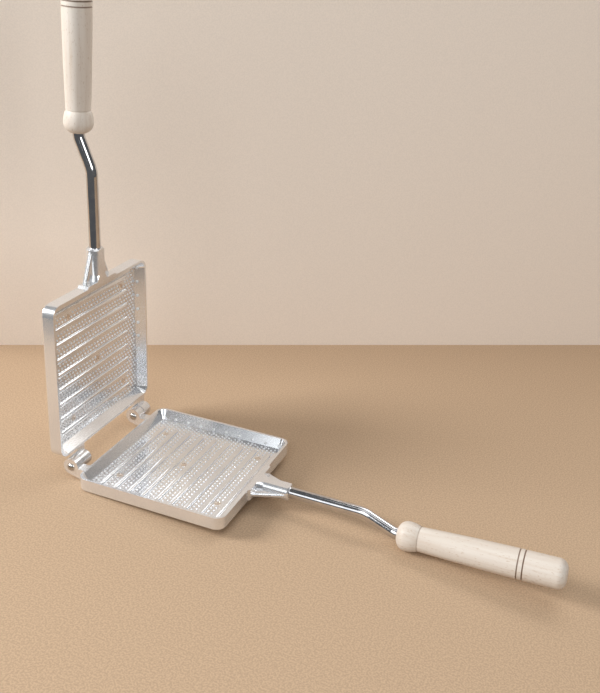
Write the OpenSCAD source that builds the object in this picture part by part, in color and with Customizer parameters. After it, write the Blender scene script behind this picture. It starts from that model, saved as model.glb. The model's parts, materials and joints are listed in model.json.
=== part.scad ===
// Hinged pie iron: two square cast pans that shut on each other over a filling. Each pan
// sits on a bent steel rod with a turned wooden grip, and two rivets join the pans.
//
// Both halves are drawn lying shut, as on a bench: the hinge axis is the Y axis, the rims
// meet at z = 0, and the rods run towards +X. The lower half lies below z = 0. The upper
// half is its mirror image above z = 0, swung open about the hinge. place() then tips the
// open iron onto the two things that it stands on, the hinge edge of the lower pan and the
// bulb of the lower grip, with the ground at z = 0.

/* [Pans] */
// Width of each pan along the hinge axis
pan_w = 140; // [110:1:180]
// Length of each pan from its hinge side to its rod side
pan_l = 140; // [110:1:180]
// Height of each pan from the closing plane to its flat back
pan_h = 12; // [11:0.5:16]
// Radius of the pans' corners, seen from above
corner_r = 9; // [7.5:0.5:14]
// Radius of the edge round each pan's back
back_edge_r = 1.4; // [0.8:0.1:2]
// Width of the flat rim
rim_w = 2; // [1.5:0.1:3.5]
// Thickness of the cooking floor
floor_t = 3.5; // [2.8:0.1:4.5]
// How far the inner walls lean in on their way down to the floor
wall_draft = 5; // [1:0.1:5.5]
// Gap between the two rims when the iron is shut
rim_gap = 0.3; // [0.2:0.05:0.6]

/* [Channels] */
// Distance from the pans' hinge side to the middle of the first channel in the floor
first_channel = 17.2; // [12:0.1:24]
// Distance from one channel to the next
channel_pitch = 13.8; // [11:0.1:20]
// Depth of a channel below the cooking floor
channel_d = 2; // [1.4:0.1:2.3]
// Width of a channel at the cooking floor
channel_w = 5; // [3.6:0.1:7]
// Radius of a channel's round bottom
channel_bottom_r = 1.2; // [0.6:0.1:1.4]
// Distance from the pan's near side to the channels' near ends
channel_near_gap = 9.5; // [8.5:0.5:30]
// Distance from the channels' far ends to the pan's far side
channel_far_gap = 21.2; // [8.5:0.1:30]

/* [Hinge] */
// Distance from the hinge axis to the pans' hinge side
hinge_reach = 13.2; // [12:0.1:18]
// Radius of the hinge knuckles
knuckle_r = 6.9; // [5:0.1:7.5]
// Width of each lower knuckle
lower_knuckle_w = 9.6; // [7:0.1:14]
// Width of each upper knuckle
upper_knuckle_w = 10.8; // [7:0.1:14]
// Gap between a lower and an upper knuckle
knuckle_gap = 0.6; // [0.3:0.1:1]
// How far the cheek that the rivet's head sits on stands out round its knuckle
cheek_rim = 0.6; // [0.3:0.1:1]
// Thickness of that cheek
cheek_t = 2.2; // [1.5:0.1:4]
// Height of the ridge along the back of each lower knuckle
ridge_h = 0.7; // [0.4:0.1:1]
// Width of that ridge
ridge_w = 2.4; // [1.5:0.1:3]
// Angle of that ridge round the knuckle, from the closing plane
ridge_angle = 128; // [110:1:150]
// Distance from the near hinge to the pans' near side
near_inset = 11.4; // [10:0.1:20]
// Distance from the far hinge to the pans' far side
far_inset = 7.9; // [6:0.1:20]
// Angle between the two halves as the open iron stands
open_angle = 90; // [80:1:95]

/* [Rivets] */
// Diameter of a rivet's shank
rivet_d = 5; // [4:0.1:6]
// Gap all round the shank in its holes
rivet_clearance = 0.05; // [0.02:0.01:0.1]
// Diameter of the domed head
head_d = 7.4; // [6.8:0.1:10]
// Height of the domed head
head_h = 2.2; // [1.5:0.1:3]
// Diameter of the closed end that is hammered over
tail_d = 7; // [6:0.1:9]
// Height of that closed end
tail_h = 1.4; // [1:0.1:2]
// Gap between the closed end and the upper knuckle, which turns against it
tail_gap = 0.3; // [0.1:0.05:0.5]

/* [Sockets] */
// Length of the round socket that holds the rod
socket_l = 30.5; // [25:0.5:45]
// Radius of the socket
socket_r = 7.6; // [6.8:0.1:9]
// Radius of the socket's root, where it flares into the pan
socket_root_r = 9.8; // [9:0.1:12]
// Length of that flare
socket_flare_l = 7; // [4:0.5:12]
// Bevel round the socket's mouth
socket_bevel = 1.2; // [0.5:0.1:1.6]
// Depth of the hole in the socket
socket_depth = 26; // [15:0.5:28]
// Half the spread of the side webs where they meet the pan
web_reach = 19; // [12:0.5:26]
// Thickness of the side webs
web_t = 4.2; // [3:0.1:6]
// Distance from the webs' narrow ends to the socket's mouth
web_end_gap = 2.4; // [1.6:0.1:8]
// How much lower the webs' middle lies than the rod's axis
web_sink = 0.6; // [0:0.1:1.5]
// Half the length of the raised pad under the socket
pad_reach = 22; // [18:0.5:28]
// Thickness of that pad
pad_t = 2; // [1:0.1:3]

/* [Rods] */
// Diameter of the steel rods
rod_d = 10; // [8:0.1:11]
// Distance from the closing plane to the axis of the rod in its socket
rod_drop = 6.4; // [5.8:0.1:7.5]
// Gap all round the rod in its holes
rod_clearance = 0.02; // [0.01:0.01:0.1]
// Straight length of the rod between the socket and the first bend
rod_straight_l = 62.3; // [40:0.5:120]
// Angle of the rod's sloping part
bend_angle = 22.5; // [15:0.5:35]
// Radius of the first bend, to the rod's axis
first_bend_r = 24; // [14:1:40]
// Radius of the second bend, to the rod's axis
second_bend_r = 14; // [10:1:24]
// Distance from the closing plane to the rod's axis where it enters the grip
grip_drop = 17.5; // [14:0.1:24]
// Angle at which the grip leans back towards the closing plane
grip_lean = 2.2; // [0:0.1:2.2]
// Length of rod inside the grip
rod_in_grip = 85; // [50:1:110]

/* [Grips] */
// Length of each wooden grip
grip_l = 137.5; // [120:0.5:170]
// Radius of the bulb at the rod's end of the grip
bulb_r = 12.3; // [11.5:0.1:15]
// Length of the bulb
bulb_l = 18.9; // [16:0.1:24]
// Radius of the rounding on the bulb's nose
bulb_nose_r = 8.6; // [6:0.1:9]
// Radius of the waist behind the bulb
waist_r = 10.2; // [8:0.1:11]
// Radius of the grip where it is thickest
grip_r = 12.2; // [11:0.1:15]
// Distance from the nose to where the grip is thickest
swell_at = 112; // [80:1:115]
// Radius of the rounding at the grip's end
grip_end_r = 7.5; // [4:0.1:9]
// Distance from the nose to the first burnt groove
groove_at = 99.8; // [60:0.5:110]
// Distance from the first burnt groove to the second
groove_pitch = 4.3; // [3:0.1:8]
// Radius of the round grooves and of the crease behind the bulb
groove_r = 0.55; // [0.3:0.05:0.8]
// Depth of the hole past the end of the rod
grip_bore_spare = 1; // [0.5:0.5:5]

/* [Hidden] */
$fn = 96;
// How deep a part is sunk into the one that it is cast in one piece with
bite = 1.5;
// How far a cutting shape stands past the surface that it cuts
cut = 1;
// Height above the pan's back at which the underside of a hinge arm runs into the pan
arm_foot = 0.5;
// How far a straight line runs inside the round that it blends into
touch_sink = 0.06;
// How far the end of the flare at the socket's root is sunk into the socket
flare_sink = 0.1;
// How much thicker the rod is where it is bent
bend_swell = 0.02;
// How far the straight pieces of the rod run into its bends
bend_lap = 0.3;

// Heights and lengths of the lower half
rim_z = -rim_gap / 2;
floor_z = floor_t - pan_h;
pan_x0 = hinge_reach;
pan_x1 = hinge_reach + pan_l;
socket_x1 = pan_x1 + socket_l;
channel_room = pan_l - rim_w - wall_draft - channel_w / 2 - first_channel;
channel_count = 1 + floor(channel_room / channel_pitch);

// Hinge: where each stack of knuckles starts, and where its upper knuckle starts
stack_w = lower_knuckle_w + knuckle_gap + upper_knuckle_w;
near_y = near_inset - pan_w / 2;
far_y = pan_w / 2 - far_inset - stack_w;
upper_at = lower_knuckle_w + knuckle_gap;
edge_z = back_edge_r - pan_h;
arm_root = [hinge_reach + bite, arm_foot - pan_h];
rivet_bore_r = rivet_d / 2 + rivet_clearance;

// Rod: the corners of its axis in the plane y = 0, each given as [x, z]
slope_gain = grip_drop - rod_drop - first_bend_r * (1 - cos(bend_angle))
             - second_bend_r * (cos(grip_lean) - cos(bend_angle));
slope_l = slope_gain / sin(bend_angle);
rod_start = [socket_x1 - socket_depth, -rod_drop];
bend_1 = [socket_x1 + rod_straight_l, -rod_drop];
slope_start = bend_1 + first_bend_r * [sin(bend_angle), cos(bend_angle) - 1];
slope_end = slope_start + slope_l * [cos(bend_angle), -sin(bend_angle)];
bend_2_centre = slope_end + second_bend_r * [sin(bend_angle), cos(bend_angle)];
grip_start = bend_2_centre + second_bend_r * [sin(grip_lean), -cos(grip_lean)];

// Grip: a point given by its distance along the grip's axis and down from it
function grip_point(along, down) =
    grip_start + along * [cos(grip_lean), sin(grip_lean)]
    + down * [sin(grip_lean), -cos(grip_lean)];
bulb_back_r = (pow(bulb_l - bulb_nose_r, 2) + pow(bulb_r - waist_r, 2)) / (2 * (bulb_r - waist_r));
swell_steps = 8;

// Standing: the line under the pan's back edge and the bulb's nose is the ground
heel = [pan_x0 + back_edge_r, back_edge_r - pan_h];
nose = grip_point(bulb_nose_r, bulb_r - bulb_nose_r);
rest_tilt = asin((bulb_nose_r - back_edge_r) / norm(nose - heel))
            - atan2(nose[1] - heel[1], nose[0] - heel[0]);
ground_z = heel[0] * sin(rest_tilt) + heel[1] * cos(rest_tilt) - back_edge_r;

// The middle of the open iron's length, between the two grips' ends
tail_centre = grip_point(grip_l - grip_end_r, grip_r - grip_end_r);
lower_tip_x = tail_centre[0] * cos(rest_tilt) - tail_centre[1] * sin(rest_tilt) + grip_end_r;
upper_tip_x = tail_centre[0] * cos(open_angle + rest_tilt)
              + tail_centre[1] * sin(open_angle + rest_tilt) - grip_end_r;
middle_x = (lower_tip_x + upper_tip_x) / 2;

// ---- Placing ------------------------------------------------------------------------

module place() {
    translate([-middle_x, 0, -ground_z]) rotate([0, -rest_tilt, 0]) children();
}

// Turns the lower half's shape into the upper half's, swung open
module upper_half() {
    place() rotate([0, -open_angle, 0]) mirror([0, 0, 1]) children();
}

// Extrudes a profile drawn in x and z over the width w, from y onwards
module along_y(y, w) {
    translate([0, y + w, 0]) rotate([90, 0, 0]) linear_extrude(w) children();
}

// The point where a line from p meets a circle of radius r round the origin, below the
// origin if p is on the right. The line runs a little inside the circle, not just along it.
function meet(p, r) =
    let (a = atan2(p[1], p[0]) - acos((r - touch_sink) / norm(p)))
    (r - touch_sink) * [cos(a), sin(a)];

// ---- Pans ---------------------------------------------------------------------------

// Side view of a slab as wide as 2 * half, from the rim down to its rounded back edges
module slab_profile(half) {
    translate([-half, edge_z]) square([2 * half, rim_z - edge_z]);
    translate([back_edge_r - half, -pan_h]) square([2 * (half - back_edge_r), pan_h / 2]);
    for (side = [-1, 1])
        translate([side * (half - back_edge_r), edge_z]) circle(back_edge_r);
}

// Side view of the space inside a pan, as wide as 2 * half at the closing plane
module cavity_profile(half) {
    polygon([[-half, cut], [-half, 0], [wall_draft - half, floor_z],
             [half - wall_draft, floor_z], [half, 0], [half, cut]]);
}

// Places a child at each corner's centre of a pan
module at_corners() {
    for (x = [pan_x0 + corner_r, pan_x1 - corner_r])
        for (y = [corner_r - pan_w / 2, pan_w / 2 - corner_r]) translate([x, y, 0]) children();
}

// Both straight stretches of a pan, along X and along Y
module straight_stretches() {
    translate([pan_x0 + corner_r, 0, 0]) rotate([90, 0, 90]) linear_extrude(pan_l - 2 * corner_r)
        children(0);
    translate([pan_x0 + pan_l / 2, 0, 0]) along_y(corner_r - pan_w / 2, pan_w - 2 * corner_r)
        children(1);
}

module pan_block() {
    straight_stretches() {
        slab_profile(pan_w / 2);
        slab_profile(pan_l / 2);
    }
    at_corners() rotate_extrude() intersection() {
        slab_profile(corner_r);
        translate([0, -pan_h]) square([corner_r, pan_h]);
    }
}

module pan_cavity() {
    inner_r = corner_r - rim_w;
    straight_stretches() {
        cavity_profile(pan_w / 2 - rim_w);
        cavity_profile(pan_l / 2 - rim_w);
    }
    at_corners() {
        translate([0, 0, floor_z]) cylinder(h = -floor_z, r1 = inner_r - wall_draft, r2 = inner_r);
        cylinder(h = cut, r = inner_r);
    }
}

// Cross-section of the space in a channel, from the cooking floor at z = 0: two sloping
// flanks, which run on above the floor, and a round bottom between them
module channel_profile() {
    centre = [0, channel_bottom_r - channel_d];
    edge = [channel_w / 2, 0];
    shoulder = centre + meet(edge - centre, channel_bottom_r);
    top_w = edge[0] - cut * (edge[0] - shoulder[0]) / shoulder[1];
    polygon([[-top_w, cut], [top_w, cut], shoulder, centre, [-shoulder[0], shoulder[1]]]);
    translate(centre) circle(channel_bottom_r);
}

// The space in one channel, with its two round ends
module channel() {
    near_end = channel_near_gap + channel_w / 2 - pan_w / 2;
    far_end = pan_w / 2 - channel_far_gap - channel_w / 2;
    along_y(near_end, far_end - near_end) channel_profile();
    for (end = [near_end, far_end])
        translate([0, end, 0]) rotate_extrude() intersection() {
            channel_profile();
            translate([0, -channel_d]) square([channel_w, channel_d + cut]);
        }
}

module channels() {
    for (i = [0 : channel_count - 1])
        translate([pan_x0 + first_channel + channel_pitch * i, 0, floor_z]) channel();
}

// The socket for the rod, with its flared root, its two side webs and the pad behind them
module socket() {
    web_z = -rod_drop - web_sink;
    web_tip = [socket_x1 - web_end_gap, socket_r - web_t / 2];
    web_root = [pan_x1, web_reach - web_t / 2];
    web_run = web_tip - web_root;
    difference() {
        union() {
            translate([pan_x1 - bite, 0, -rod_drop]) rotate([0, 90, 0]) {
                cylinder(h = socket_l + bite - socket_bevel, r = socket_r);
                translate([0, 0, socket_l + bite - socket_bevel])
                    cylinder(h = socket_bevel, r1 = socket_r, r2 = socket_r - socket_bevel);
                translate([0, 0, pad_t])
                    cylinder(h = socket_flare_l, r1 = socket_root_r, r2 = socket_r - flare_sink);
            }
            translate([0, 0, web_z - web_t / 2]) linear_extrude(web_t)
                polygon([[pan_x1 - bite, -web_root[1]], web_root - [0, 2 * web_root[1]],
                         [web_tip[0], -web_tip[1]], web_tip, web_root, [pan_x1 - bite, web_root[1]]]);
            for (side = [-1, 1])
                translate([web_root[0], side * web_root[1], web_z])
                    rotate([0, 90, side * atan2(web_run[1], web_run[0])])
                        cylinder(h = norm(web_run), r = web_t / 2);
            translate([0, 0, edge_z]) linear_extrude(rim_z - edge_z)
                polygon([[pan_x1 - bite, -pad_reach], [pan_x1, -pad_reach],
                         [pan_x1 + pad_t, pad_t - pad_reach], [pan_x1 + pad_t, pad_reach - pad_t],
                         [pan_x1, pad_reach], [pan_x1 - bite, pad_reach]]);
        }
        translate([pan_x1 - 2 * bite, -pad_reach, rim_z])
            cube([socket_l + 3 * bite, 2 * pad_reach, socket_r]);
    }
}

module rod_bore() {
    translate([rod_start[0], 0, -rod_drop]) rotate([0, 90, 0])
        cylinder(h = socket_depth + cut, r = rod_d / 2 + rod_clearance);
}

// A pan with its channels and its socket, without its half of the hinge
module plain_pan() {
    difference() {
        pan_block();
        pan_cavity();
        channels();
    }
    socket();
}

// ---- Hinge --------------------------------------------------------------------------

// Side view of a knuckle of radius r and of the arm that joins it to its pan
module knuckle_profile(r) {
    circle(r);
    polygon([[0, rim_z], [arm_root[0], rim_z], arm_root, meet(arm_root, r)]);
}

module lower_knuckle(y) {
    along_y(y, lower_knuckle_w) {
        knuckle_profile(knuckle_r);
        rotate(ridge_angle) translate([knuckle_r - bite, -ridge_w / 2])
            square([bite + ridge_h, ridge_w]);
    }
    along_y(y, cheek_t) knuckle_profile(knuckle_r + cheek_rim);
}

module upper_knuckle(y) {
    along_y(y + upper_at, upper_knuckle_w) knuckle_profile(knuckle_r);
}

// The holes for the rivets through every knuckle
module rivet_bores() {
    translate([0, -pan_w / 2, 0]) rotate([-90, 0, 0]) cylinder(h = pan_w, r = rivet_bore_r);
}

module rivet(y) {
    shank_l = stack_w + tail_gap;
    head_ball_r = (pow(head_d / 2, 2) + pow(head_h, 2)) / (2 * head_h);
    tail_ball_r = (pow(tail_d / 2, 2) + pow(tail_h, 2)) / (2 * tail_h);
    translate([0, y, 0]) rotate([-90, 0, 0]) {
        cylinder(h = shank_l, d = rivet_d);
        rotate_extrude() intersection() {
            translate([0, head_ball_r - head_h]) circle(head_ball_r);
            translate([0, -head_h]) square([head_d / 2, head_h]);
        }
        translate([0, 0, shank_l]) rotate_extrude() intersection() {
            translate([0, tail_h - tail_ball_r]) circle(tail_ball_r);
            square([tail_d / 2, tail_h]);
        }
    }
}

// ---- Rods and grips -----------------------------------------------------------------

// A straight piece of rod of length l from p, in the plane y = 0, heading up by angle a.
// It runs into the bends before and after it by the given laps.
module straight_rod(p, l, a, lap_before, lap_after) {
    translate([p[0], 0, p[1]]) rotate([0, 90 - a, 0]) translate([0, 0, -lap_before])
        cylinder(h = lap_before + l + lap_after, d = rod_d);
}

// A bent piece of rod round the centre c, from angle a over the sweep
module bent_rod(c, r, a, sweep) {
    translate([c[0], 0, c[1]]) rotate([90, 0, 0]) rotate([0, 0, a])
        rotate_extrude(angle = sweep) translate([r, 0]) circle(d = rod_d + bend_swell);
}

module rod() {
    straight_rod(rod_start, bend_1[0] - rod_start[0], 0, 0, bend_lap);
    bent_rod(bend_1 - [0, first_bend_r], first_bend_r, 90 - bend_angle, bend_angle);
    straight_rod(slope_start, slope_l, -bend_angle, bend_lap, bend_lap);
    bent_rod(bend_2_centre, second_bend_r, -90 - bend_angle, bend_angle + grip_lean);
    straight_rod(grip_start, rod_in_grip, grip_lean, bend_lap, 0);
}

// Radius of the grip at the distance s from its nose, behind the bulb
function swell(s) =
    waist_r + (grip_r - waist_r) * sin(90 * (s - bulb_l) / (swell_at - bulb_l));

// Half of the grip's outline, with the radius along x and the length along y
module grip_outline() {
    // The bulb's rounded nose
    intersection() {
        translate([bulb_r - bulb_nose_r, bulb_nose_r]) circle(bulb_nose_r);
        square([bulb_r, bulb_nose_r]);
    }
    square([bulb_r - bulb_nose_r, bulb_nose_r]);
    // The bulb's back
    intersection() {
        translate([bulb_r - bulb_back_r, bulb_nose_r]) circle(bulb_back_r);
        translate([0, bulb_nose_r]) square([bulb_r, bulb_l - bulb_nose_r]);
    }
    // The long swell of the grip
    polygon(concat(
        [[0, bulb_l]],
        [for (i = [0 : swell_steps])
            let (s = bulb_l + (swell_at - bulb_l) * i / swell_steps) [swell(s), s]],
        [[grip_r, grip_l - grip_end_r], [0, grip_l - grip_end_r]]));
    // The rounded end
    translate([0, grip_l - grip_end_r]) square([grip_r - grip_end_r, grip_end_r]);
    intersection() {
        translate([grip_r - grip_end_r, grip_l - grip_end_r]) circle(grip_end_r);
        translate([0, grip_l - grip_end_r]) square([grip_r, grip_end_r]);
    }
}

module grip() {
    translate([grip_start[0], 0, grip_start[1]]) rotate([0, 90 - grip_lean, 0]) difference() {
        rotate_extrude() grip_outline();
        translate([0, 0, -cut])
            cylinder(h = rod_in_grip + grip_bore_spare + cut, r = rod_d / 2 + rod_clearance);
        rotate_extrude() translate([waist_r, bulb_l]) circle(groove_r);
        for (s = [groove_at, groove_at + groove_pitch])
            rotate_extrude() translate([swell(min(s, swell_at)), s]) circle(groove_r);
    }
}

// ---- Nodes --------------------------------------------------------------------------

module lower_pan() {
    color([0.74, 0.74, 0.73]) place() difference() {
        union() {
            plain_pan();
            for (y = [near_y, far_y]) lower_knuckle(y);
        }
        rod_bore();
        rivet_bores();
    }
}

module upper_pan() {
    color([0.70, 0.70, 0.69]) upper_half() difference() {
        union() {
            plain_pan();
            for (y = [near_y, far_y]) upper_knuckle(y);
        }
        rod_bore();
        rivet_bores();
    }
}

module lower_rod() {
    color([0.80, 0.80, 0.82]) place() rod();
}

module upper_rod() {
    color([0.80, 0.80, 0.82]) upper_half() rod();
}

module lower_grip() {
    color([0.88, 0.81, 0.73]) place() grip();
}

module upper_grip() {
    color([0.88, 0.81, 0.73]) upper_half() grip();
}

module near_rivet() {
    color([0.60, 0.60, 0.62]) place() rivet(near_y);
}

module far_rivet() {
    color([0.60, 0.60, 0.62]) place() rivet(far_y);
}

lower_pan();
upper_pan();
lower_rod();
upper_rod();
lower_grip();
upper_grip();
near_rivet();
far_rivet();
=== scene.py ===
"""A pie iron that stands open on a pale floor. The cast pans, the rods, the grips and the
rivets come from the frame. This script gives them their finishes and adds the cast detail inside
the pans: ribs, studs, bumps on the far walls and round ejector marks. The ribs stand over the
channels that the pans' solids have in the same places."""
import json
import math

import bpy
from mathutils import Matrix, Vector


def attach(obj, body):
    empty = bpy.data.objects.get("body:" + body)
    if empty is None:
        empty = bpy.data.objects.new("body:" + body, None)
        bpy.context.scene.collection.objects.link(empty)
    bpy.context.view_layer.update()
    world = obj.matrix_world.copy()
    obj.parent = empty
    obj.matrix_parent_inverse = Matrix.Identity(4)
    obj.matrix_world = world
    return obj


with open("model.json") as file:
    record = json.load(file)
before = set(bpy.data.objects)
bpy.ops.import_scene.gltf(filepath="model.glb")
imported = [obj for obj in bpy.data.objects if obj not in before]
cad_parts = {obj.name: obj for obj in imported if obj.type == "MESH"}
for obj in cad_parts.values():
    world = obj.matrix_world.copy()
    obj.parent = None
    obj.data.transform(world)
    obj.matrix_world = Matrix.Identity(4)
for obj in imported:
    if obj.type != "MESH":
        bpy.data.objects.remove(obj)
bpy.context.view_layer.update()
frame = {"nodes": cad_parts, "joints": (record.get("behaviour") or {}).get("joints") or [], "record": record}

MM = 0.001

# ---- Sizes of the iron, in millimetres, as in the solids --------------------------------

PAN_W = 140
PAN_START = 13.2          # from the hinge axis to the pans' hinge side
FLOOR_Z = -8.5            # the cooking floor, measured from the closing plane
RIM_W = 2
WALL_DRAFT = 5
FIRST_RIB = PAN_START + 17.2   # the middle of the rib nearest the hinge
RIB_PITCH = 13.8
RIB_COUNT = 9
RIB_NEAR_GAP = 9.5        # from a pan's near outer face to the near end of a rib
RIB_FAR_GAP = 21.2
RIB_NEAR_END = RIB_NEAR_GAP - PAN_W / 2
RIB_FAR_END = PAN_W / 2 - RIB_FAR_GAP
GRIP_START = 280.9        # from the hinge axis to the nose of a grip
GRIP_DROP = 17.5          # from the closing plane down to the nose
GRIP_LEAN = math.radians(2.2)
RING_AT = 99.8            # from the nose of a grip to its first burnt ring
RING_PITCH = 4.3

# ---- Sizes that only this script uses, in millimetres -----------------------------------

RIB_W = 5.1               # at the floor, just wider than the channels that the ribs cover
RIB_ROOT = 0.5            # how far a rib reaches below the floor, into its channel
RIB_END_SIDES = 28
RIB_STEPS = [(0.45, 1.05), (0.15, 0.27), (0.2, 0.2), (0.25, 0.08)]   # in and up its sides
STUD_D = 1.9
STUD_H = 0.85
STUD_PITCH = 4.2          # from one stud to the next along a row
STUD_START = 0.5          # a stud of every second row, from the pan's middle line
STUD_ROWS = [5.0, 8.8]    # rows between two ribs, from the middle of the one nearer the hinge
END_ROWS = [-1.6, 1.6]    # rows past the far end of a rib, from its middle
WALL_GAP = 1.6            # least room from a wall's foot to a stud, half of it at the hinge side
STUD_SIDES = 12
STUD_RINGS = 3
MARK_D = 5.6
MARK_H = 0.5              # half of it is sunk into the floor
MARK_RING = 0.45          # how wide the raised edge is
MARK_STEP = 0.12          # how far the edge slopes in
MARK_DISH = 0.22          # how deep the middle lies below the edge
MARK_SOFT = 0.12          # the round on its corners
MARK_SIDES = 40
# The middles of the ejector marks: from the hinge axis, and from the pan's middle line
MARKS = [(37.3, -39.5), (37.3, 39.5), (78.7, 0), (133.9, -39.5), (133.9, 39.5)]
BUMP_D = 3
BUMP_DEPTH = 6.4          # from the closing plane to the middle of a bump
BUMP_SHIFT = 3.5          # from a rib to its bump on the far wall, along the pan
BUMP_SIDES = 16
BUMP_RINGS = 4


# ---- Both halves as the iron stands -------------------------------------------------------

class Half:
    """A pan's own frame: x runs from the hinge along the pan, y along the hinge, and z out
    of the pan, with the closing plane at 0."""

    def __init__(self, body, along, out):
        self.body = body
        across = Vector((0, 1, 0))
        turn = Matrix((along, across, out)).transposed().to_4x4()
        self.matrix = Matrix.Translation(HINGE) @ turn @ Matrix.Scale(MM, 4)

    def place(self, obj, name):
        """Puts a piece that was modelled in millimetres in the pan's frame in its place."""
        obj.data.transform(self.matrix)
        obj.name = name
        if self.matrix.determinant() < 0:
            obj.data.flip_normals()
        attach(obj, self.body)


HINGE = Vector(frame["joints"][0]["pos_m"])
BACK = Vector(next(m for m in frame["record"]["mounts"] if m["name"] == "lower_back")["axis"])
UP = -BACK.normalized()
ALONG = Vector((0, 1, 0)).cross(UP)
LOWER = Half("lower_half", ALONG, UP)
UPPER = Half("upper_half", UP, ALONG)


# ---- Modelling helpers ----------------------------------------------------------------------

def deselect():
    bpy.ops.object.select_all(action="DESELECT")


def joined(pieces):
    """One object made of all the pieces."""
    deselect()
    for piece in pieces:
        piece.select_set(True)
    bpy.context.view_layer.objects.active = pieces[0]
    bpy.ops.object.join()
    return bpy.context.view_layer.objects.active


def edit_where(piece, kind, test):
    """Opens a piece in edit mode with the points or faces selected that pass a test on their
    points."""
    bpy.ops.object.mode_set(mode="EDIT")
    bpy.ops.mesh.select_mode(type=kind)
    bpy.ops.mesh.select_all(action="DESELECT")
    bpy.ops.object.mode_set(mode="OBJECT")
    mesh = piece.data
    if kind == "VERT":
        for point in mesh.vertices:
            point.select = test([point.co])
    else:
        for face in mesh.polygons:
            face.select = test([mesh.vertices[i].co for i in face.vertices])
    bpy.ops.object.mode_set(mode="EDIT")


def copy_at(piece, place, turn=None):
    """A copy of a piece with its own mesh, moved to a place, in the pan's frame."""
    copy = piece.copy()
    copy.data = piece.data.copy()
    bpy.context.scene.collection.objects.link(copy)
    matrix = Matrix.Translation(place)
    copy.data.transform(matrix @ turn if turn else matrix)
    return copy


def dome(diameter, height, sides, rings):
    """A low round dome that stands on z = 0."""
    deselect()
    bpy.ops.mesh.primitive_uv_sphere_add(segments=sides, ring_count=2 * rings, radius=diameter / 2)
    piece = bpy.context.object
    bpy.ops.object.mode_set(mode="EDIT")
    bpy.ops.mesh.select_all(action="SELECT")
    bpy.ops.mesh.bisect(plane_co=(0, 0, -1e-4), plane_no=(0, 0, 1), use_fill=True, clear_inner=True)
    bpy.ops.mesh.select_all(action="SELECT")
    bpy.ops.transform.resize(value=(1, 1, 2 * height / diameter), center_override=(0, 0, 0))
    bpy.ops.object.mode_set(mode="OBJECT")
    bpy.ops.object.shade_smooth()
    return piece


# ---- Cast detail inside the pans -------------------------------------------------------------

def rib():
    """One rib along y, with round ends, sides that lean in and soft upper edges."""
    radius = RIB_W / 2
    half_step = math.pi / RIB_END_SIDES
    deselect()
    bpy.ops.mesh.primitive_cylinder_add(vertices=RIB_END_SIDES, radius=radius, depth=RIB_ROOT,
        location=(0, RIB_NEAR_END + radius, -RIB_ROOT / 2), rotation=(0, 0, half_step))
    bpy.ops.object.transform_apply()
    piece = bpy.context.object
    edit_where(piece, "VERT", lambda points: points[0].y > RIB_NEAR_END + radius)
    bpy.ops.transform.translate(value=(0, RIB_FAR_END - RIB_NEAR_END - RIB_W, 0))
    bpy.ops.object.mode_set(mode="OBJECT")
    edit_where(piece, "FACE", lambda points: min(p.z for p in points) > -RIB_ROOT / 2)
    for inward, upward in RIB_STEPS:
        bpy.ops.mesh.inset(thickness=inward, depth=upward)
    bpy.ops.object.mode_set(mode="OBJECT")
    bpy.ops.object.shade_smooth_by_angle(angle=math.radians(50))
    return piece


def ribs(half, name):
    """All ribs of a pan, side by side from the hinge to the grip."""
    one = rib()
    spots = [Vector((FIRST_RIB + i * RIB_PITCH, 0, FLOOR_Z)) for i in range(RIB_COUNT)]
    piece = joined([copy_at(one, spot) for spot in spots])
    bpy.data.objects.remove(one)
    half.place(piece, name)
    return piece


def stud_rows():
    """Where each row of studs lies along the pan, and where along y it starts."""
    everywhere = -PAN_W
    for i in range(-1, RIB_COUNT):
        for shift in END_ROWS:
            yield FIRST_RIB + i * RIB_PITCH + shift, (RIB_FAR_END + STUD_D if i >= 0 else everywhere)
        for shift in STUD_ROWS:
            yield FIRST_RIB + i * RIB_PITCH + shift, everywhere


def stud_places():
    """The middles of all studs on a pan's floor: rows along y, each half a step on from the
    last."""
    far_foot = PAN_W / 2 - RIM_W - WALL_DRAFT
    hinge_foot = PAN_START + RIM_W + WALL_DRAFT
    grip_foot = PAN_START + PAN_W - RIM_W - WALL_DRAFT
    places = []
    for row, (x, start) in enumerate(stud_rows()):
        y = STUD_START - (far_foot // STUD_PITCH) * STUD_PITCH + (row % 2 - 1) * STUD_PITCH / 2
        while y < far_foot - WALL_GAP:
            clear_x = hinge_foot + WALL_GAP / 2 < x < grip_foot - WALL_GAP
            clear_mark = all(math.hypot(x - mx, y - my) > (MARK_D + STUD_D) / 2 for mx, my in MARKS)
            if clear_x and y > max(start, WALL_GAP - far_foot) and clear_mark:
                places.append(Vector((x, y, FLOOR_Z)))
            y += STUD_PITCH
    return places


def studs(half, name):
    """The small domes that fill a pan's floor between and past its ribs."""
    stud = dome(STUD_D, STUD_H, STUD_SIDES, STUD_RINGS)
    piece = joined([copy_at(stud, place) for place in stud_places()])
    bpy.data.objects.remove(stud)
    half.place(piece, name)
    return piece


def wall_bumps(half, name):
    """A row of small bumps on the far wall, one for each rib."""
    bump = dome(BUMP_D, BUMP_D / 2, BUMP_SIDES, BUMP_RINGS)
    slope = math.atan2(WALL_DRAFT, -FLOOR_Z)
    turn = Matrix.Rotation(math.pi / 2 - slope, 4, "X")
    wall_y = PAN_W / 2 - RIM_W - WALL_DRAFT * BUMP_DEPTH / -FLOOR_Z
    bumps = []
    for i in range(RIB_COUNT):
        x = FIRST_RIB + BUMP_SHIFT + i * RIB_PITCH
        bumps.append(copy_at(bump, Vector((x, wall_y, -BUMP_DEPTH)), turn))
    piece = joined(bumps)
    bpy.data.objects.remove(bump)
    half.place(piece, name)
    return piece


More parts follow.
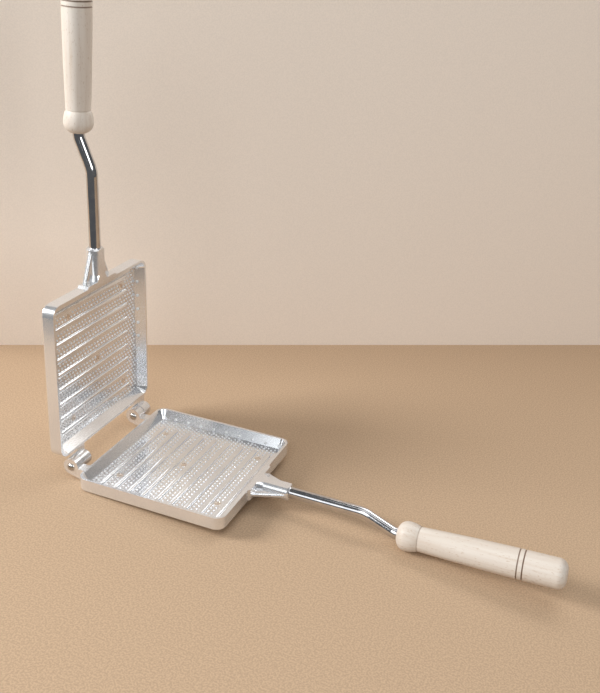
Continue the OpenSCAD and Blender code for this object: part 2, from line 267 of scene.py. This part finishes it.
def ejector_marks(half, name):
    """Round marks with a thin raised edge, left by the pins that push a casting out."""
    deselect()
    bpy.ops.mesh.primitive_cylinder_add(vertices=MARK_SIDES, radius=MARK_D / 2, depth=MARK_H)
    mark = bpy.context.object
    edit_where(mark, "FACE", lambda points: min(p.z for p in points) > 0)
    bpy.ops.mesh.inset(thickness=MARK_RING, depth=0)
    bpy.ops.mesh.inset(thickness=MARK_STEP, depth=-MARK_DISH)
    bpy.ops.object.mode_set(mode="OBJECT")
    bevel = mark.modifiers.new("edge", "BEVEL")
    bevel.width = MARK_SOFT
    bevel.segments = 2
    bevel.limit_method = "ANGLE"
    bpy.ops.object.modifier_apply(modifier=bevel.name)
    bpy.ops.object.shade_smooth_by_angle(angle=math.radians(40))
    piece = joined([copy_at(mark, Vector((x, y, FLOOR_Z))) for x, y in MARKS])
    bpy.data.objects.remove(mark)
    half.place(piece, name)
    return piece


# ---- Materials --------------------------------------------------------------------------------

class Value:
    """A socket that can be used in sums with other sockets and numbers. Each sum adds its
    Math nodes."""

    def __init__(self, maker, socket):
        self.maker = maker
        self.socket = socket

    def math(self, operation, *others, flip=False):
        inputs = [self.socket] + [o.socket if isinstance(o, Value) else o for o in others]
        if flip:
            inputs.reverse()
        return self.maker.node("ShaderNodeMath", {"operation": operation}, dict(enumerate(inputs)))

    def __add__(self, other): return self.math("ADD", other)
    def __radd__(self, other): return self.math("ADD", other, flip=True)
    def __sub__(self, other): return self.math("SUBTRACT", other)
    def __rsub__(self, other): return self.math("SUBTRACT", other, flip=True)
    def __mul__(self, other): return self.math("MULTIPLY", other)
    def __rmul__(self, other): return self.math("MULTIPLY", other, flip=True)

    def absolute(self): return self.math("ABSOLUTE")

    def spread(self, low, high, to_low=0.0, to_high=1.0):
        """This value, mapped from low..high to to_low..to_high and kept in that range."""
        ends = {"Value": self, "From Min": low, "From Max": high, "To Min": to_low, "To Max": to_high}
        return self.maker.node("ShaderNodeMapRange", {"interpolation_type": "SMOOTHSTEP"}, ends)


class Finish:
    """A material that is put together from nodes. All its patterns read Object coordinates."""

    def __init__(self, name, **shader):
        self.material = bpy.data.materials.new(name)
        self.material.use_nodes = True
        self.tree = self.material.node_tree
        self.shader = self.tree.nodes["Principled BSDF"]
        for socket, value in shader.items():
            self.shader.inputs[socket.replace("_", " ")].default_value = value

    def node(self, kind, settings=None, inputs=None, output=0):
        node = self.tree.nodes.new(kind)
        for name, value in (settings or {}).items():
            setattr(node, name, value)
        for name, value in (inputs or {}).items():
            self.feed(node.inputs[name], value)
        return Value(self, node.outputs[output])

    def feed(self, socket, value):
        value = value.socket if isinstance(value, Value) else value
        if isinstance(value, bpy.types.NodeSocket):
            self.tree.links.new(value, socket)
        else:
            socket.default_value = value

    def position(self, turn=(0, 0, 0), centre=(0, 0, 0)):
        """Object coordinates, moved to a centre and then turned."""
        place = self.node("ShaderNodeTexCoord", output="Object")
        moved = self.node("ShaderNodeVectorMath", {"operation": "SUBTRACT"}, {0: place, 1: centre})
        return self.node("ShaderNodeMapping", None, {"Vector": moved, "Rotation": turn})

    def noise(self, place, scale, detail=3.0):
        return self.node("ShaderNodeTexNoise", None, {"Vector": place, "Scale": scale, "Detail": detail})

    def stretched(self, place, amount):
        """A position whose pattern is drawn out along z."""
        return self.node("ShaderNodeVectorMath", {"operation": "MULTIPLY"}, {0: place, 1: (1, 1, amount)})

    def mix(self, factor, low, high):
        colours = {"Factor": factor, 6: low, 7: high}
        return self.node("ShaderNodeMix", {"data_type": "RGBA"}, colours, output=2)

    def colour(self, value): self.feed(self.shader.inputs["Base Color"], value)
    def roughness(self, value): self.feed(self.shader.inputs["Roughness"], value)

    def bump(self, height, distance, strength=1.0):
        sizes = {"Height": height, "Distance": distance, "Strength": strength}
        self.feed(self.shader.inputs["Normal"], self.node("ShaderNodeBump", None, sizes))

    def put_on(self, *pieces):
        for piece in pieces:
            if piece.data.materials:
                for i in range(len(piece.data.materials)):
                    piece.data.materials[i] = self.material
            else:
                piece.data.materials.append(self.material)


def toned(colour, tint):
    """A colour with each channel darkened or lightened by the tint."""
    return [channel * change for channel, change in zip(colour, tint)] + [1]


def cast_aluminium(name, shine, tint=(1, 1, 1)):
    """Bright cast aluminium, tumbled smooth: soft reflections with a faint uneven skin."""
    finish = Finish(name, Metallic=shine)
    place = finish.position()
    skin = finish.noise(place, 900, detail=2)
    waves = finish.noise(place, 60, detail=3)
    stains = finish.noise(place, 22, detail=4)
    dull = toned((0.84, 0.85, 0.87), tint)
    bright = toned((0.90, 0.905, 0.91), tint)
    finish.colour(finish.mix(stains.spread(0.35, 0.7), dull, bright))
    finish.roughness(stains.spread(0.3, 0.7, 0.13, 0.19) + skin.spread(0.3, 0.7, 0, 0.04))
    finish.bump(waves * 0.8 + skin * 0.2, 0.0002, 0.06)
    return finish


def polished_rod():
    """Polished steel, with a faint uneven haze."""
    finish = Finish("polished_rod", Metallic=1.0)
    place = finish.position()
    haze = finish.noise(place, 140, detail=3)
    finish.colour(finish.mix(haze.spread(0.3, 0.7), (0.60, 0.60, 0.62, 1), (0.70, 0.69, 0.69, 1)))
    finish.roughness(haze.spread(0.3, 0.7, 0.07, 0.14))
    finish.bump(haze, 0.00005, 0.15)
    return finish


def rivet_steel():
    """Plain darker steel, with fine marks all over."""
    finish = Finish("rivet_steel", Metallic=1.0)
    marks = finish.noise(finish.position(), 700, detail=3)
    finish.colour(finish.mix(marks.spread(0.35, 0.65), (0.42, 0.41, 0.40, 1), (0.56, 0.55, 0.54, 1)))
    finish.roughness(marks.spread(0.3, 0.7, 0.1, 0.2))
    finish.bump(marks, 0.00005, 0.3)
    return finish


def pale_beech(name, nose, axis, painted_shade_and_light):
    """Sanded beech: pale, with fine grain and short brown flecks along the grip, and the two
    burnt rings near its end. All its colours are scaled by a painted shade factor, so one grip
    is painted darker and the other lighter: painted shade and light, not a difference in the wood."""
    finish = Finish(name, Roughness=0.5)
    turn = axis.to_track_quat("Z", "Y").to_matrix().inverted().to_euler()
    place = finish.position(turn=turn, centre=nose)
    along = finish.node("ShaderNodeSeparateXYZ", None, {0: place}, output=2)
    stretched = finish.stretched(place, 0.06)
    short = finish.stretched(place, 0.3)
    grain = finish.noise(stretched, 420, detail=4)
    bands = finish.noise(stretched, 110, detail=2)
    flecks = finish.noise(short, 1100, detail=2).spread(0.62, 0.7)
    # Both beech colours are multiplied by the painted shade factor: painted shade on the lower grip, a
    # little painted light on the upper.
    pale = toned((0.78, 0.71, 0.63), [painted_shade_and_light] * 3)
    dark = toned((0.69, 0.605, 0.52), [painted_shade_and_light] * 3)
    wood = finish.mix(bands.spread(0.35, 0.68), pale, dark)
    wood = finish.mix(grain.spread(0.45, 0.75) * 0.35, wood, (0.58, 0.46, 0.35, 1))
    wood = finish.mix(flecks * 0.5, wood, (0.46, 0.32, 0.21, 1))
    first, second = [(along - at * MM).absolute().spread(0.3 * MM, 0.8 * MM, 1, 0)
        for at in (RING_AT, RING_AT + RING_PITCH)]
    wood = finish.mix(first * 0.75 + second * 0.9, wood, (0.16, 0.085, 0.045, 1))
    finish.colour(wood)
    finish.roughness(grain.spread(0.3, 0.7, 0.42, 0.56))
    finish.bump(grain * 0.7 + flecks * -0.3, 0.0001, 0.35)
    return finish


def plain_paper(name, colour, speckle):
    """Pale paper with a faint grain. Its back is clear, so it hides nothing from behind."""
    finish = Finish(name, Roughness=0.9)
    grain = finish.noise(finish.position(), 700, detail=2)
    darker = toned(colour[:3], [1 - speckle] * 3)
    finish.colour(finish.mix(grain.spread(0.35, 0.65), darker, colour))
    finish.shader.inputs["Specular IOR Level"].default_value = 0.2
    behind = finish.node("ShaderNodeNewGeometry", output="Backfacing")
    clear = finish.node("ShaderNodeBsdfTransparent")
    sides = {0: behind, 1: finish.shader.outputs["BSDF"], 2: clear}
    one_sided = finish.node("ShaderNodeMixShader", None, sides)
    finish.feed(finish.tree.nodes["Material Output"].inputs["Surface"], one_sided)
    return finish


# ---- Camera, floor and light ------------------------------------------------------------------

def add_camera():
    """The photograph's viewpoint, fitted to landmarks such as the pans' corners."""
    camera = bpy.data.objects.new("camera", bpy.data.cameras.new("camera"))
    bpy.context.scene.collection.objects.link(camera)
    camera.location = (0.2209, -0.6255, 0.4856)
    camera.rotation_euler = [math.radians(a) for a in (66.34, -5.82, 22.90)]
    camera.data.lens = 48.0
    camera.data.sensor_width = 36
    camera.data.shift_y = -0.0668
    camera.data.clip_start = 0.01
    bpy.context.scene.camera = camera


def add_sheet(name, width, depth, place, turn, colour, speckle):
    """A flat floor or backdrop, which isn't part of the iron."""
    deselect()
    bpy.ops.mesh.primitive_plane_add(size=1, location=place, rotation=turn)
    sheet = bpy.context.object
    sheet.scale = (width, depth, 1)
    bpy.ops.object.transform_apply()
    sheet.name = name
    plain_paper(name, colour, speckle).put_on(sheet)


def add_lamp(name, place, aim, width, height, power, colour=(1, 1, 1)):
    """A soft rectangular lamp that faces its aim."""
    light = bpy.data.lights.new(name, "AREA")
    light.shape = "RECTANGLE"
    light.size = width
    light.size_y = height
    light.energy = power
    light.color = colour
    lamp = bpy.data.objects.new(name, light)
    bpy.context.scene.collection.objects.link(lamp)
    lamp.location = place
    lamp.rotation_euler = (Vector(aim) - Vector(place)).to_track_quat("-Z", "Y").to_euler()


def add_studio():
    """The floor, the backdrop, the lamps and the dim world round them, in metres and watts."""
    wall_at = Vector((-0.3958, 0.1062, 0))       # the foot of the backdrop, at the picture's left
    wall_along = Vector((0.2095, 0.5211, 0)) - wall_at
    wall_h = 0.46
    wall_middle = wall_at + wall_along * 0.8 + Vector((0, 0, wall_h / 2))
    yaw = math.atan2(wall_along.y, wall_along.x)
    cool = (0.94, 0.97, 1)
    add_sheet("floor", 3, 2.5, (0, 0.95, 0), (0, 0, 0), (0.53, 0.375, 0.245, 1), 0.2)
    add_sheet("backdrop", 1.6, wall_h, wall_middle, (math.pi / 2, 0, yaw), (0.94, 0.83, 0.72, 1), 0.05)
    add_lamp("left_key", (-1.6, -0.85, 1.0), (-0.1, 0.05, 0.3), 0.7, 0.7, 43)
    add_lamp("back_top", (0.15, 1.0, 1.3), (-0.1, 0, 0.05), 1.4, 0.6, 10)
    add_lamp("front_fill", (0.1, -1.7, 1.6), (0.1, 0.3, 0.25), 1.0, 0.8, 9, cool)
    add_lamp("front_low", (-0.3, -1.85, 1.0), (0, 0.1, 0.15), 1.2, 1.0, 6, cool)
    add_lamp("right_fill", (1.5, -0.9, 1.0), (0, 0.3, 0.35), 0.8, 0.8, 9)
    add_lamp("top", (0.2, -0.2, 2.0), (0, 0.1, 0), 1.4, 1.4, 5)
    world = bpy.data.worlds.new("studio")
    world.use_nodes = True
    background = world.node_tree.nodes["Background"]
    background.inputs["Color"].default_value = (0.95, 0.97, 1.0, 1)
    background.inputs["Strength"].default_value = 0.12
    bpy.context.scene.world = world


# ---- The iron ---------------------------------------------------------------------------------

add_camera()
add_studio()
bpy.context.scene.view_settings.view_transform = "Standard"

aluminium = cast_aluminium("cast_aluminium", 0.8)
tumbled = cast_aluminium("tumbled_studs", 0.4)
pin_brown = cast_aluminium("pin_brown", 0.8, (0.90, 0.80, 0.70))
nodes = frame["nodes"]
aluminium.put_on(nodes["lower_pan"], nodes["upper_pan"])
for half, side in ((LOWER, "lower"), (UPPER, "upper")):
    aluminium.put_on(ribs(half, side + "_ribs"))
    pin_brown.put_on(ejector_marks(half, side + "_ejector_marks"))
    tumbled.put_on(studs(half, side + "_studs"), wall_bumps(half, side + "_wall_bumps"))
polished_rod().put_on(nodes["lower_rod"], nodes["upper_rod"])
rivet_steel().put_on(nodes["near_rivet"], nodes["far_rivet"])

GRIP_NOSE = Vector((GRIP_START, 0, -GRIP_DROP))
# The lower grip's beech is painted darker (0.9) and the upper's a little lighter (1.02): painted shade and
# light for how the lamps fall on them, not a difference in the wood.
for half, side, painted_shade_and_light in ((LOWER, "lower", 0.9), (UPPER, "upper", 1.02)):
    nose = half.matrix @ GRIP_NOSE
    axis = (half.matrix.to_3x3() @ Vector((math.cos(GRIP_LEAN), 0, math.sin(GRIP_LEAN)))).normalized()
    pale_beech(side + "_beech", nose, axis, painted_shade_and_light).put_on(nodes[side + "_grip"])
